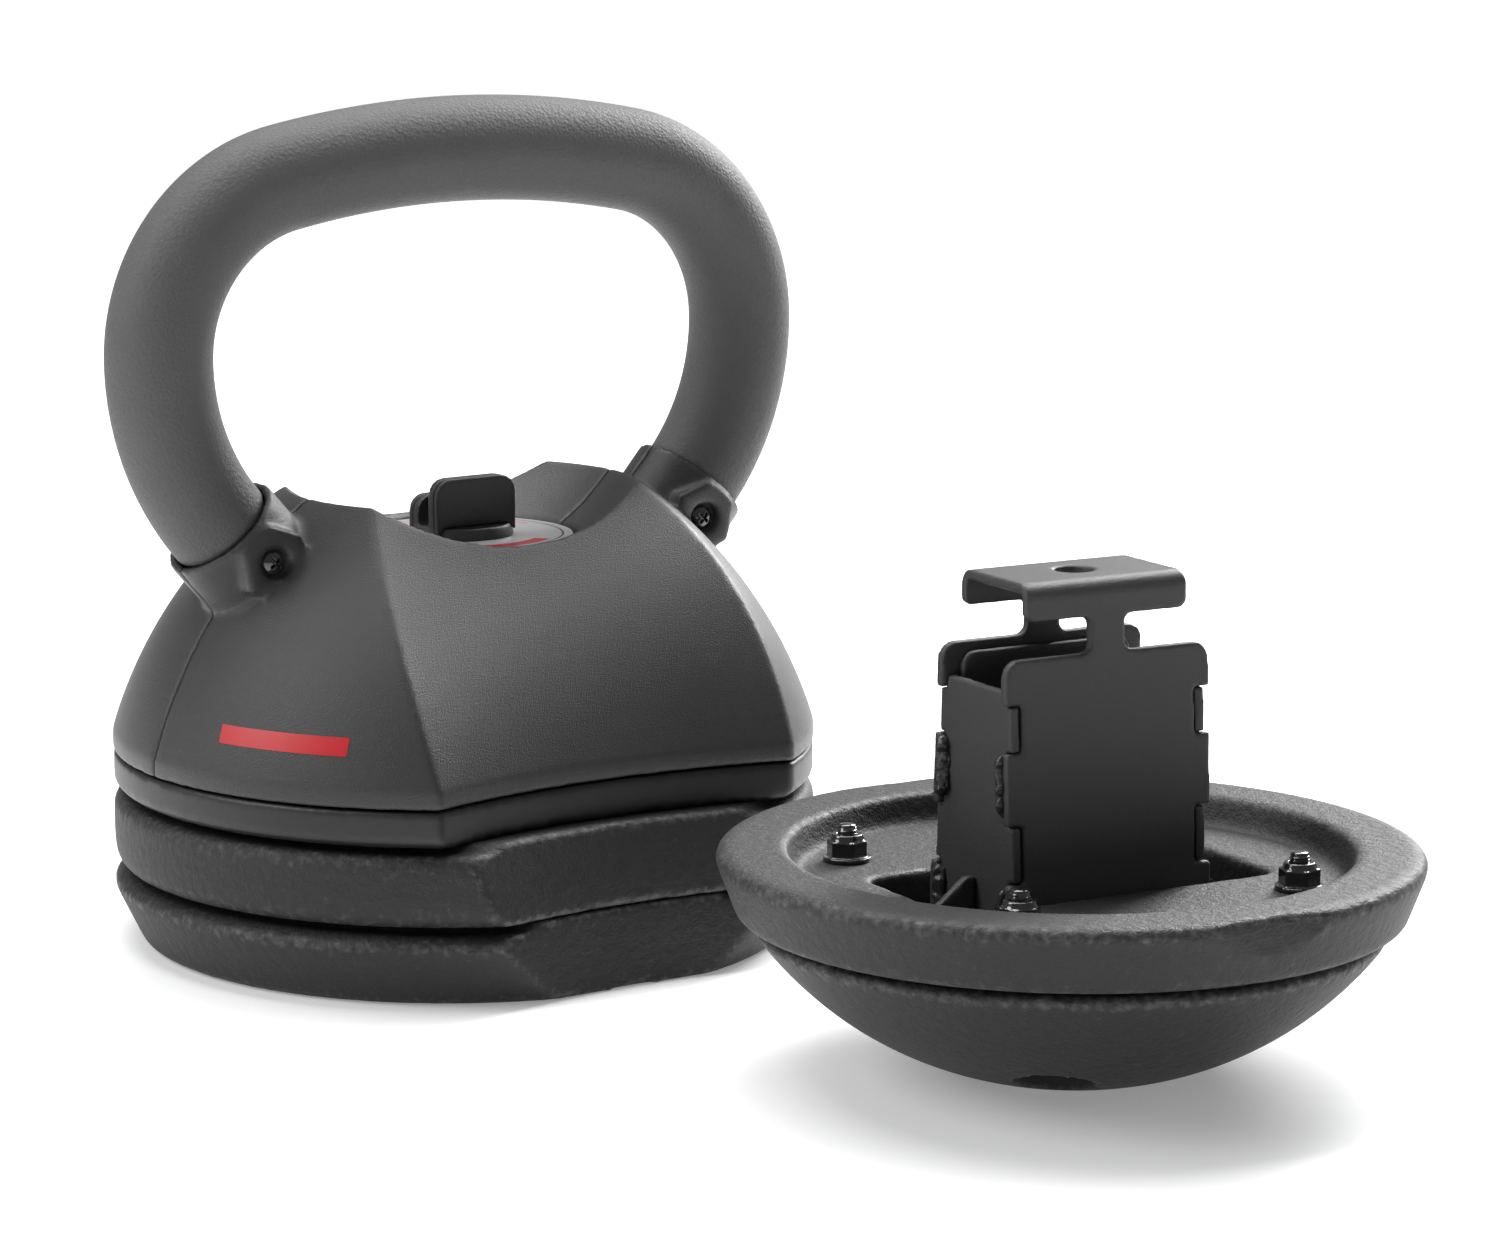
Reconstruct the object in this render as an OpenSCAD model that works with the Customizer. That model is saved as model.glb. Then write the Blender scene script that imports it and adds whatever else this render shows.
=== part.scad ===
// Adjustable kettlebell: a handle unit with a dial selector, two ring weights under it
// and a round-bottomed base unit with a T-topped steel column that the selector catches.
// Millimetres, +Z up. The origin is the centre of the lower ring weight's underside.

/* [Handle] */
// Height of the top of the grip above the floor
handle_top = 258; // [250:1:280]
// Half width of the handle, from its middle to the centre line of the tube
handle_half_w = 103.5; // [99:0.5:112]
// Height at which the handle is widest
handle_wide_z = 184; // [180:1:190]
// Centre-line radius of the upper corners
corner_r = 53; // [48:1:55]
// Centre-line radius of the legs as they curve in to the collars
leg_r = 77; // [72:1:84]
// Lean of the tube ends from the vertical, in degrees
lean = 41; // [36:1:45]
// Outer diameter of the padded grip
grip_d = 32; // [29:0.5:35]
// Outer diameter of the steel tube
tube_d = 25; // [22:0.5:26]
// Wall of the steel tube
tube_wall = 2.5; // [1.5:0.1:4]

/* [Body] */
// Radius of the round sides of the body
body_r = 108.3; // [104:0.1:116]
// Radius of the arc that forms the dome
dome_r = 141; // [136:1:150]
// Lean of the dome where it leaves the skirt, in degrees
dome_tilt = 17; // [14:1:20]
// Wall of the plastic shells
shell_wall = 3.5; // [2.5:0.1:4.5]
// Radius of the rim of the bowl around the knob
bowl_rim_r = 54; // [50:0.5:58]
// Radius of the dial disc
dial_r = 34; // [30:0.5:36]
// Height of the top of the dial disc
dial_top = 123.5; // [122:0.5:126]
// Distance of the flat-looking front and rear faces from the middle, low on the body
scoop_y = 95; // [90:0.5:98]
// Radius of the hollow of those faces seen from above
scoop_plan_r = 202; // [180:1:240]
// Radius of their curve seen from the side
scoop_side_r = 190; // [180:1:220]

/* [Ring weights] */
// Height of the underside of the upper ring weight
upper_z = 24; // [20:0.5:30]
// Height of the top of the upper ring weight
band_z = 48; // [42:0.5:54]
// Gap between the drum and the opening through the ring weights
drum_gap = 8; // [7:0.5:12]
// Radius of the underside of the lower ring weight
ring_foot_r = 100.7; // [96:0.1:104]

/* [Selector] */
// Turn of the selector in this model, in degrees
selector_turn = 0; // [0:1:90]
// Outer radius of the hanging drum
drum_r = 47; // [45:0.5:48]
// Wall of the drum
drum_wall = 3; // [2:0.1:4]
// Diameter of the selector shaft
shaft_d = 14; // [10:0.5:16]
// Width of the knob's two paddles
paddle_w = 28; // [24:0.5:34]

/* [Base unit] */
// Sideways place of the base unit's axis
base_x = 54.5; // [40:0.5:80]
// Place of the base unit's axis in front of the handle unit
base_y = -233; // [-300:1:-215]
// Turn of the base unit about its axis, in degrees
base_turn = -5.5; // [-45:0.5:45]
// Radius of the base unit's ring at its top edge
base_r = 98.7; // [94:0.1:102]
// Height of the top of the base unit's ring
base_top = 62; // [58:0.5:68]
// Radius of the dome at its top edge
cup_r = 88; // [84:0.5:92]
// Height of the top of the column
column_top = 139.6; // [134:0.1:146]
// Half length of the column's T top
tee_half = 26; // [23:0.5:28]
// Half width of the column
column_half_w = 33; // [30:0.5:35]
// Thickness of the column's outer sheet
sheet = 3; // [2:0.1:3.5]
// Distance of the four studs from the axis
stud_circle_r = 64; // [62:0.5:66]

/* [Hidden] */
$fn = 96;
FAR = 400;       // larger than anything in the model
EPS = 0.01;

// the handle's centre line, in its own upright plane
arch_top = handle_top - grip_d / 2;
corner_x = handle_half_w - corner_r;
arch_rise = arch_top - handle_wide_z;
arch_r = (corner_x * corner_x + arch_rise * arch_rise - corner_r * corner_r)
    / (2 * (arch_rise - corner_r));
arch_a = atan(corner_x / (arch_r - arch_rise));
leg_x = handle_half_w - leg_r;
rim_x = leg_x + leg_r * cos(lean);       // where the grip enters the collar
rim_z = handle_wide_z - leg_r * sin(lean);
grip_in = 5;                             // grip inside the collar
tube_in = 24;                            // tube inside the collar
screw_in = 12.5;                         // collar screw, along the tube from the rim
fit = 0.1;                               // clearance of one piece inside another
running = 0.08;                          // clearance on the radius of a shaft that turns
step = 0.06;                             // difference in diameter between neighbouring bends
lap = 0.3;                               // how far they lap into each other
lap_a = lap / corner_r * 180 / PI;

// the collars that grow from the shells
collar_d = grip_d + 5.5;
collar_len = 28;
boss_r = 12;
boss_y = 20.5;
screw_d = 4.5;
screw_head_d = 8.4;

// the body
skirt_z = 65;
shell_z = 59.7;
dome_x = body_r - dome_r * cos(dome_tilt);
dome_z = skirt_z - dome_r * sin(dome_tilt);
bowl_rim_z = dome_z + sqrt(dome_r * dome_r - pow(bowl_rim_r - dome_x, 2));
seat_r = dial_r + 1.2;
seat_z = dial_top - 3.9;
bowl_z = (bowl_rim_r * bowl_rim_r + bowl_rim_z * bowl_rim_z - seat_r * seat_r - dial_top * dial_top)
    / (2 * (bowl_rim_z - dial_top));
bowl_r = sqrt(seat_r * seat_r + pow(bowl_z - dial_top, 2));
floor_t = 4;
scoop_low = -10;                         // where the scoop's side curve is upright
scoop_axis = scoop_y + scoop_plan_r;
ring_open_r = drum_r + drum_gap;
band_open_r = ring_open_r + 2;
band_screw_r = body_r - 8.8;
band_screw_a = 27;
band_boss = [12, 14];                    // diameter and height of the screw bosses in the shells
band_screw_y = band_open_r + 10;

// the ring weights
ring_boss_r = 100;                       // the raised face that the next piece rests on
lug_r = drum_r + 1.6;
lug_half_a = 10;
lug_h = 8;
lug_up = 8.2;                            // height of each lug above its weight's underside
foot_h = 5;
foot_gap = 0.9;
foot_r = ring_open_r - 2;

// the selector
drum_top = 88;
drum_roof = 4;                           // thickness of the closed top of the drum
nut_h = 4.5;
nut_low = drum_top - drum_roof - nut_h;  // the nut hangs under the roof
neck_d = 12;                             // the shaft where the drum and the dial sit on it
pilot_d = 10;
pilot_low = 70;
washer_t = 1.6;
seat_gap = 0.4;                          // between the dial and its seat
ledge_z = 60;                            // ledges that pass under the column's T top
ledge_h = 6.5;
ledge_r = 24.5;                          // clears the corners of the T top as it enters
frame_z = 100;
frame_t = 5;
bush_d = 22;
bush_low = 90;
bush_top = floor(bowl_z - bowl_r - shell_wall);   // just under the bowl
bush_flange = [10, 4];                   // how much wider than the bush, and how thick
frame_half_l = 54;
frame_w = 34;
paddle_gap = 3;                          // half the gap between the paddles
paddle_t = 3.4;
pad_t = 2.4;
front_paddle_top = 142;
rear_paddle_top = 136;
knob_base_h = 3.5;
knob_bore = 2.5;                         // depth of the shaft's end in the knob

// the base unit
cup_z = 41.5;
foot_z = 43;                             // top of the column's foot plate
foot_t = 3;
foot_half = 52;
cup_flat_r = 30;
cup_arc_r = 103;
pocket_r = 79;
pocket_z = 53.5;
opening = [104, 50];
stud_end_z = 64;
stud_low = 24;                           // blind lower end of the studs, inside the dome
recess_r = 46;
recess_a = -127.4;
recess_d = 22;
recess_top = 20;
stud_d = 6;
stud_hole_d = 7;
tip_h = 0.6;
pilot_hole_d = pilot_d + 1;              // the T top's hole, wider than the pilot that enters it
tee_half_y = 17.2;                       // outer half depth of the T top
bridge_z = 131.5;                        // where the bent bridge becomes the two upright sheets
splay = 2.6;                             // lean of the front and rear sheets, in degrees
flange_z = 129.4;
shoulder_z = 119.5;
notches = [[107, 94], [74, 58]];         // top and bottom of each notch in the sheet's edges
notch_in = 5;
side_t = 3;
side_top = 110.5;
side_x = column_half_w - 4.5;            // inner face of the side plates
bead_r = 2.4;
gusset_gap = 3.5;                        // from a gusset's end to the edge of the ring's opening

// ---- shapes that several parts share ----

// One bend of a round bar or tube in the XZ plane, between two angles measured from +X.
module bend(x, z, r, from, to, outer, inner) {
    translate([x, 0, z]) rotate([90, 0, 0]) rotate([0, 0, from]) rotate_extrude(angle = to - from)
        translate([r, 0]) difference() {
            circle(d = outer, $fn = 64);
            if (inner > 0) circle(d = inner, $fn = 64);
        }
}

// The frame of a collar: its origin on the rim, +Z along the tube towards the inside.
module at_collar(side) {
    mirror([side < 0 ? 1 : 0, 0, 0]) translate([rim_x, 0, rim_z]) rotate([0, 180 + lean, 0]) children();
}

// The handle's whole bent path, with straight ends of the given length. Every second piece
// is a hair thinner and laps into its neighbours, which then join without tangent faces.
module handle_path(outer, inner, end_len) {
    thin_outer = outer - step;
    thin_inner = inner + step;
    bend(0, arch_top - arch_r, arch_r, 90 - arch_a, 90 + arch_a, outer, inner);
    for (side = [-1, 1]) {
        mirror([side < 0 ? 1 : 0, 0, 0]) {
            bend(corner_x, handle_wide_z, corner_r, -lap_a, 90 - arch_a + lap_a, thin_outer, thin_inner);
            bend(leg_x, handle_wide_z, leg_r, -lean, 0, outer, inner);
        }
        at_collar(side) translate([0, 0, -lap]) difference() {
            cylinder(d = thin_outer, h = end_len + lap);
            translate([0, 0, -1]) cylinder(d = thin_inner, h = end_len + lap + 2);
        }
    }
}

// The round body between two heights, shrunk by an inset: dome above the skirt, upright below it.
module round_body(low, high, inset) {
    rotate_extrude($fn = 180) intersection() {
        translate([dome_x, dome_z]) circle(r = dome_r - inset, $fn = 180);
        translate([0, low]) square([body_r - inset, high - low]);
    }
}

// The hollows of the front and rear faces; above upright_z they lean back with the body.
module scoops(low, high, inset, upright_z) {
    mid_x = scoop_plan_r + scoop_side_r;
    upright_x = mid_x - sqrt(scoop_side_r * scoop_side_r - pow(upright_z - scoop_low, 2)) + inset;
    for (side = [-1, 1]) translate([0, side * scoop_axis, 0]) rotate_extrude($fn = 180) {
        if (high > upright_z) difference() {
            translate([0, max(low, upright_z)]) square([scoop_axis, high - max(low, upright_z)]);
            translate([mid_x, scoop_low]) circle(r = scoop_side_r - inset, $fn = 180);
        }
        if (low < upright_z) translate([0, low]) square([upright_x, min(high, upright_z) - low]);
    }
}

// A sector of a flat ring, centred on an angle.
module sector(r_in, r_out, middle, half_a, low, high) {
    translate([0, 0, low]) rotate([0, 0, middle - half_a])
        rotate_extrude(angle = 2 * half_a, $fn = 120) translate([r_in, 0])
            square([r_out - r_in, high - low]);
}

// The four places of the base unit's studs.
module at_studs() {
    for (i = [0 : 3]) rotate([0, 0, 45 + 90 * i]) translate([stud_circle_r, 0, 0]) children();
}

// The six places of the screws that hold the band.
module at_band_screws(front) {
    for (side = [-1, 1]) rotate([0, 0, 90 + (front ? 180 : 0) + side * (90 - band_screw_a)])
        translate([band_screw_r, 0, 0]) children();
    translate([0, front ? -band_screw_y : band_screw_y, 0]) children();
}

module in_base() {
    translate([base_x, base_y, 0]) rotate([0, 0, base_turn]) children();
}

module turned() {
    rotate([0, 0, selector_turn]) children();
}

// ---- handle unit ----

module handle_tube() {
    color([0.16, 0.16, 0.17]) difference() {
        handle_path(tube_d, tube_d - 2 * tube_wall, tube_in);
        screw_bores(screw_d + 0.6);
    }
}

module handle_grip() {
    color([0.27, 0.27, 0.28]) handle_path(grip_d, tube_d + 2 * fit, grip_in);
}

module screw_bores(d) {
    for (side = [-1, 1]) at_collar(side) translate([0, 0, screw_in]) rotate([90, 0, 0])
        cylinder(d = d, h = 2 * boss_y + 2, center = true);
}

// One half of the shell: the front one holds the screw heads, the rear one their nuts.
module shell_half(front) {
    difference() {
        intersection() {
            union() {
                difference() {
                    round_body(shell_z, FAR, 0);
                    scoops(shell_z - 1, FAR / 2, 0, skirt_z);
                    shell_cavity();
                }
                for (side = [-1, 1]) collar_outside(side, front);
                intersection() {
                    at_band_screws(front) translate([0, 0, shell_z])
                        cylinder(d = band_boss[0], h = band_boss[1]);
                    round_body(shell_z, FAR, shell_wall / 2);
                }
            }
            translate([-FAR / 2, front ? -FAR : 0, 0]) cube([FAR, FAR, FAR]);
        }
        bowl_space();
        for (side = [-1, 1]) collar_bore(side, front);
        at_band_screws(front) translate([0, 0, shell_z - 1]) cylinder(d = 3.5, h = band_boss[1]);
    }
}

// The bowl, the dial's seat below it and the hole for the shaft, turned in one piece.
module bowl_space() {
    rotate_extrude($fn = 180) {
        intersection() {
            translate([0, bowl_z]) circle(r = bowl_r, $fn = 180);
            translate([0, dial_top]) square([bowl_rim_r + 20, 60]);
        }
        translate([0, seat_z]) square([seat_r, dial_top - seat_z + 2]);
        translate([0, frame_z - 20]) square([shaft_d / 2 + 1, seat_z - frame_z + 25]);
    }
}

module shell_cavity() {
    difference() {
        round_body(shell_z - 1, FAR, shell_wall);
        scoops(shell_z - 2, FAR / 2, shell_wall, skirt_z);
        translate([0, 0, bowl_z]) sphere(r = bowl_r + shell_wall, $fn = 180);
        translate([0, 0, seat_z - floor_t]) cylinder(r = seat_r + shell_wall, h = 40, $fn = 120);
    }
}

module collar_outside(side, front) {
    at_collar(side) {
        cylinder(d = collar_d, h = collar_len);
        translate([0, 0, screw_in]) rotate([front ? 90 : -90, 0, 0])
            linear_extrude(boss_y) circle(r = boss_r, $fn = 6);
    }
}

module collar_bore(side, front) {
    at_collar(side) {
        translate([0, 0, -1]) cylinder(d = tube_d + 2 * fit, h = collar_len + 2);
        translate([0, 0, -1]) cylinder(d = grip_d + 2 * fit, h = grip_in + 1 + fit);
        translate([0, 0, -20]) cylinder(d = collar_d + 20, h = 20);
        translate([0, 0, screw_in]) rotate([front ? 90 : -90, 0, 0]) {
            cylinder(d = screw_d + 2 * fit, h = boss_y + 1);
            if (front) translate([0, 0, boss_y - 3.2]) cylinder(d = screw_head_d + 1.2, h = 5);
            else translate([0, 0, boss_y - 4]) cylinder(r = 4.2, h = 5, $fn = 6);
        }
    }
}

module shell_front() {
    color([0.2, 0.2, 0.21]) shell_half(true);
}

module shell_rear() {
    color([0.2, 0.2, 0.21]) shell_half(false);
}

// The smooth band that closes the shells from below and rests on the upper ring weight.
module base_band() {
    color([0.18, 0.18, 0.19]) difference() {
        rotate_extrude($fn = 180) polygon([
            [band_open_r, band_z], [body_r - 3, band_z], [body_r - 0.2, band_z + 2.2],
            [body_r - 0.2, shell_z - 0.3], [band_open_r, shell_z - 0.3]
        ]);
        scoops(band_z - 1, shell_z + 1, 0.2, skirt_z);
        for (front = [true, false]) at_band_screws(front) {
            translate([0, 0, band_z - 1]) cylinder(d = 4.2, h = 20);
            translate([0, 0, band_z - 1]) cylinder(d = 8, h = 5);
        }
    }
}

module collar_screws() {
    color([0.05, 0.05, 0.05]) for (side = [-1, 1]) at_collar(side)
        translate([0, 0, screw_in]) rotate([90, 0, 0]) difference() {
            union() {
                translate([0, 0, -boss_y + 1.2]) cylinder(d = screw_d, h = 2 * boss_y - 4.4 + EPS);
                intersection() {
                    translate([0, 0, boss_y - 3.2]) cylinder(d = screw_head_d, h = 3);
                    translate([0, 0, boss_y - 5.7]) sphere(d = 10.6);
                }
            }
            for (a = [0, 90]) rotate([0, 0, a]) translate([-2, -0.45, boss_y - 2.2]) cube([4, 0.9, 4]);
        }
}

module collar_nuts() {
    color([0.1, 0.1, 0.1]) for (side = [-1, 1]) at_collar(side)
        translate([0, boss_y - 4 + fit, screw_in]) rotate([-90, 0, 0]) difference() {
            cylinder(r = 4, h = 3.2, $fn = 6);
            translate([0, 0, -1]) cylinder(d = screw_d, h = 6);
        }
}

module band_screws() {
    color([0.1, 0.1, 0.1]) for (front = [true, false]) at_band_screws(front) {
        translate([0, 0, band_z + 1.6]) cylinder(d = 7, h = 2.2);
        translate([0, 0, band_z + 2]) cylinder(d = 3.3, h = shell_z + band_boss[1] - band_z - 5);
    }
}

// A steel bar that ties the two tube ends together and carries the selector's bush.
module cross_frame() {
    plug_drop = (rim_z - frame_z - frame_t / 2) / cos(lean);
    color([0.45, 0.46, 0.47]) difference() {
        union() {
            translate([0, 0, frame_z + frame_t / 2])
                cube([2 * frame_half_l, frame_w, frame_t], center = true);
            for (side = [-1, 1]) intersection() {
                at_collar(side) translate([0, 0, 4])
                    cylinder(d = tube_d - 2 * tube_wall - 2 * fit, h = plug_drop + 8);
                translate([-FAR / 2, -FAR / 2, frame_z]) cube(FAR);
            }
        }
        translate([0, 0, frame_z - 1]) cylinder(d = bush_d, h = frame_t + 2);
        screw_bores(screw_d + 0.2);
    }
}

module selector_bush() {
    color([0.62, 0.55, 0.35]) difference() {
        union() {
            translate([0, 0, bush_low]) cylinder(d = bush_d, h = bush_top - bush_low);
            translate([0, 0, frame_z - bush_flange[1]])
                cylinder(d = bush_d + bush_flange[0], h = bush_flange[1]);
        }
        translate([0, 0, bush_low - 1]) cylinder(d = shaft_d + 2 * running, h = bush_top - bush_low + 2);
    }
}

// ---- selector ----

// A paddle outline with rounded upper corners, standing on the knob's base.
module paddle(y, t, w, low, high) {
    round_r = 5;
    translate([0, y + t / 2, 0]) rotate([90, 0, 0]) linear_extrude(t) {
        translate([-w / 2, low]) square([w, high - low - round_r]);
        translate([-w / 2 + round_r, low]) square([w - 2 * round_r, high - low]);
        for (side = [-1, 1]) translate([side * (w / 2 - round_r), high - round_r]) circle(r = round_r);
    }
}

module selector_knob() {
    low = dial_top + 1;
    color([0.19, 0.19, 0.2]) turned() difference() {
        union() {
            translate([0, 0, dial_top]) cylinder(r1 = 16, r2 = 14.6, h = knob_base_h);
            paddle(-paddle_gap - paddle_t / 2, paddle_t, paddle_w, low, front_paddle_top);
            paddle(paddle_gap + paddle_t / 2, paddle_t, paddle_w, low, rear_paddle_top);
        }
        translate([0, 0, dial_top - 1]) cylinder(d = pilot_d, h = 1 + knob_bore);
    }
}

module knob_pads() {
    pad_y = paddle_gap + paddle_t + pad_t / 2;
    low = dial_top + knob_base_h;
    color([0.24, 0.24, 0.25]) turned() difference() {
        union() {
            paddle(-pad_y, pad_t, paddle_w, low - 2, front_paddle_top);
            paddle(pad_y, pad_t, paddle_w, low - 2, rear_paddle_top);
        }
        translate([0, 0, dial_top - EPS]) cylinder(r1 = 16, r2 = 14.6, h = knob_base_h + EPS);
    }
}

module dial_plate() {
    color([0.72, 0.72, 0.74]) turned() difference() {
        translate([0, 0, seat_z + seat_gap]) cylinder(r = dial_r, h = dial_top - seat_z - seat_gap);
        translate([0, 0, seat_z]) cylinder(d = neck_d, h = dial_top - seat_z + 1);
    }
}

// Its lower tip is the pilot that enters the hole in the column's T top.
module selector_shaft() {
    color([0.6, 0.6, 0.62]) turned() {
        translate([0, 0, pilot_low]) cylinder(d1 = pilot_d - 2, d2 = pilot_d, h = 2);
        translate([0, 0, pilot_low + 2]) cylinder(d = pilot_d, h = nut_low - pilot_low - 2);
        translate([0, 0, nut_low]) cylinder(d = neck_d, h = drum_top - nut_low);
        translate([0, 0, drum_top]) cylinder(d = shaft_d, h = seat_z + seat_gap - drum_top);
        translate([0, 0, seat_z + seat_gap]) cylinder(d = neck_d, h = dial_top - seat_z - seat_gap);
        translate([0, 0, dial_top]) cylinder(d = pilot_d, h = knob_bore);
    }
}

module thrust_washer() {
    color([0.7, 0.7, 0.7]) turned() translate([0, 0, drum_top]) difference() {
        cylinder(d = bush_d + 4, h = washer_t);
        translate([0, 0, -1]) cylinder(d = shaft_d, h = washer_t + 2);
    }
}

// Feet under each weight's lugs, one pair a step later than the other, and ledges for the T top.
module selector_drum() {
    low = lug_up - foot_gap - foot_h;
    upper_from = -100;
    color([0.5, 0.51, 0.52]) turned() {
        difference() {
            translate([0, 0, low]) cylinder(r = drum_r, h = drum_top - low, $fn = 120);
            translate([0, 0, low - 1])
                cylinder(r = drum_r - drum_wall, h = drum_top - drum_roof - low + 1, $fn = 120);
            cylinder(d = neck_d, h = FAR);
        }
        for (half = [0, 180]) {
            foot(upper_from, -14, half, upper_z + low);
            foot(upper_from, -44, half, low);
            sector(ledge_r, drum_r - drum_wall + 1, 54 + half, 6, ledge_z, ledge_z + ledge_h);
        }
    }
}

module foot(from, to, half, low) {
    sector(drum_r - 1, foot_r, (from + to) / 2 + half, (to - from) / 2, low, low + foot_h);
}

module drum_nut() {
    color([0.55, 0.55, 0.57]) turned() translate([0, 0, nut_low]) difference() {
        cylinder(r = 10.4, h = nut_h, $fn = 6);
        translate([0, 0, -1]) cylinder(d = neck_d, h = nut_h + 2);
    }
}

// ---- ring weights ----

module plate_lugs(low) {
    for (middle = [0, 180])
        sector(lug_r, ring_open_r + 2, middle, lug_half_a, low + lug_up, low + lug_up + lug_h);
}

module upper_plate() {
    color([0.2, 0.2, 0.2]) {
        difference() {
            rotate_extrude($fn = 180) polygon([
                [ring_open_r, upper_z], [body_r - 4.5, upper_z], [body_r - 2, upper_z + 1],
                [body_r - 0.4, upper_z + 4], [body_r, upper_z + 9], [body_r, band_z - 4.5],
                [body_r - 2.5, band_z - 2], [ring_boss_r, band_z - 2], [ring_boss_r - 1, band_z],
                [ring_open_r, band_z]
            ]);
            scoops(upper_z - 1, band_z + 1, 0, -FAR);
        }
        plate_lugs(upper_z);
    }
}

module lower_plate() {
    color([0.2, 0.2, 0.2]) {
        difference() {
            rotate_extrude($fn = 180) polygon([
                [ring_open_r, 0], [ring_foot_r - 2, 0], [ring_foot_r, 1.5], [body_r + 0.4, upper_z - 6],
                [body_r, upper_z - 4.5], [body_r - 3.5, upper_z - 2], [ring_boss_r, upper_z - 2],
                [ring_boss_r - 1, upper_z], [ring_open_r, upper_z]
            ]);
            scoops(-1, upper_z + 1, 0, -FAR);
        }
        plate_lugs(0);
    }
}

// ---- base unit ----

module ring_plate() {
    half_x = opening[0] / 2;
    half_y = opening[1] / 2;
    edge = 6;
    color([0.22, 0.22, 0.22]) in_base() difference() {
        rotate_extrude($fn = 180) polygon([
            [0, foot_z], [base_r - 7.5, foot_z], [base_r - 5.5, foot_z + 1.5],
            [base_r, base_top - 2.8], [base_r - 1, base_top - 1], [base_r - 3.4, base_top], [0, base_top]
        ]);
        translate([0, 0, pocket_z])
            cylinder(r1 = pocket_r - 3, r2 = pocket_r, h = base_top - pocket_z + EPS, $fn = 120);
        for (side = [-1, 1]) translate([0, side * (scoop_plan_r + scoop_y + 0.5), foot_z - 1])
            cylinder(r = scoop_plan_r, h = 40, $fn = 180);
        translate([-half_x, -half_y + edge, foot_z - 1]) cube([2 * half_x, 2 * half_y - 2 * edge, 20]);
        translate([-half_x + edge, -half_y, foot_z - 1]) cube([2 * half_x - 2 * edge, 2 * half_y, 20]);
        for (sx = [-1, 1], sy = [-1, 1]) translate([sx * (half_x - edge), sy * (half_y - edge), foot_z - 1])
            cylinder(r = edge, h = 20);
        at_studs() translate([0, 0, foot_z - 1]) cylinder(d = stud_hole_d, h = 20);
    }
}

// The rounded bottom of the kettlebell, flat enough underneath to stand.
module dome_plate() {
    chord = [cup_r - cup_flat_r, cup_z - 2.5];
    len = norm(chord);
    rise = sqrt(cup_arc_r * cup_arc_r - len * len / 4);
    arc_x = (cup_r + cup_flat_r) / 2 - chord[1] / len * rise;
    arc_z = chord[1] / 2 + chord[0] / len * rise;
    color([0.22, 0.22, 0.22]) in_base() difference() {
        rotate_extrude($fn = 180) intersection() {
            translate([arc_x, arc_z]) circle(r = cup_arc_r, $fn = 180);
            polygon([[0, 0], [cup_r, 0], [cup_r, cup_z - 2.5], [cup_r - 2, cup_z], [0, cup_z]]);
        }
        translate([-foot_half - 0.3, -foot_half - 0.3, foot_z - foot_t])
            cube([2 * foot_half + 0.6, 2 * foot_half + 0.6, 10]);
        at_studs() translate([0, 0, stud_low]) cylinder(d = stud_d + fit, h = cup_z);
        rotate([0, 0, recess_a]) translate([recess_r, 0, -1]) cylinder(d = recess_d, h = recess_top + 1);
    }
}

module column_foot() {
    color([0.3, 0.3, 0.31]) in_base() difference() {
        translate([-foot_half, -foot_half, foot_z - foot_t]) cube([2 * foot_half, 2 * foot_half, foot_t]);
        at_studs() translate([0, 0, foot_z - foot_t - 1]) cylinder(d = stud_hole_d, h = 10);
    }
}

// The frame of the front or rear sheet: local Z is the distance inside its outer face.
module on_sheet(rear) {
    rotate([0, 0, rear ? 180 : 0]) translate([0, -tee_half_y, bridge_z]) rotate([90 - splay, 0, 0])
        mirror([0, 0, 1]) translate([0, -bridge_z, 0]) children();
}

// Outline of the front and rear sheets, in width and height: T top, neck, shoulders, notched edges.
module sheet_outline() {
    neck = 5.5;
    round_r = 5;
    fillet = 2.5;
    difference() {
        union() {
            translate([-tee_half, flange_z + 2.5]) square([2 * tee_half, bridge_z - flange_z - 2.5 + EPS]);
            translate([-tee_half + 2.5, flange_z]) square([2 * tee_half - 5, 4]);
            for (side = [-1, 1]) translate([side * (tee_half - 2.5), flange_z + 2.5])
                circle(r = 2.5, $fn = 32);
            translate([-neck - fillet, shoulder_z - 1])
                square([2 * (neck + fillet), flange_z - shoulder_z + 2]);
            translate([-column_half_w, foot_z]) square([2 * column_half_w, shoulder_z - round_r - foot_z]);
            translate([-column_half_w + round_r, foot_z])
                square([2 * (column_half_w - round_r), shoulder_z - foot_z]);
            for (side = [-1, 1]) translate([side * (column_half_w - round_r), shoulder_z - round_r])
                circle(r = round_r, $fn = 32);
        }
        for (side = [-1, 1]) {
            translate([side * (neck + fillet), (flange_z + shoulder_z) / 2]) {
                translate([-fillet, -(flange_z - shoulder_z) / 2 + fillet])
                    square([2 * fillet, flange_z - shoulder_z - 2 * fillet]);
                for (up = [-1, 1]) translate([0, up * ((flange_z - shoulder_z) / 2 - fillet)])
                    circle(r = fillet, $fn = 32);
            }
            for (n = notches) translate([side * (column_half_w - notch_in / 2), (n[0] + n[1]) / 2])
                square([notch_in + EPS, n[0] - n[1]], center = true);
        }
    }
}

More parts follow.
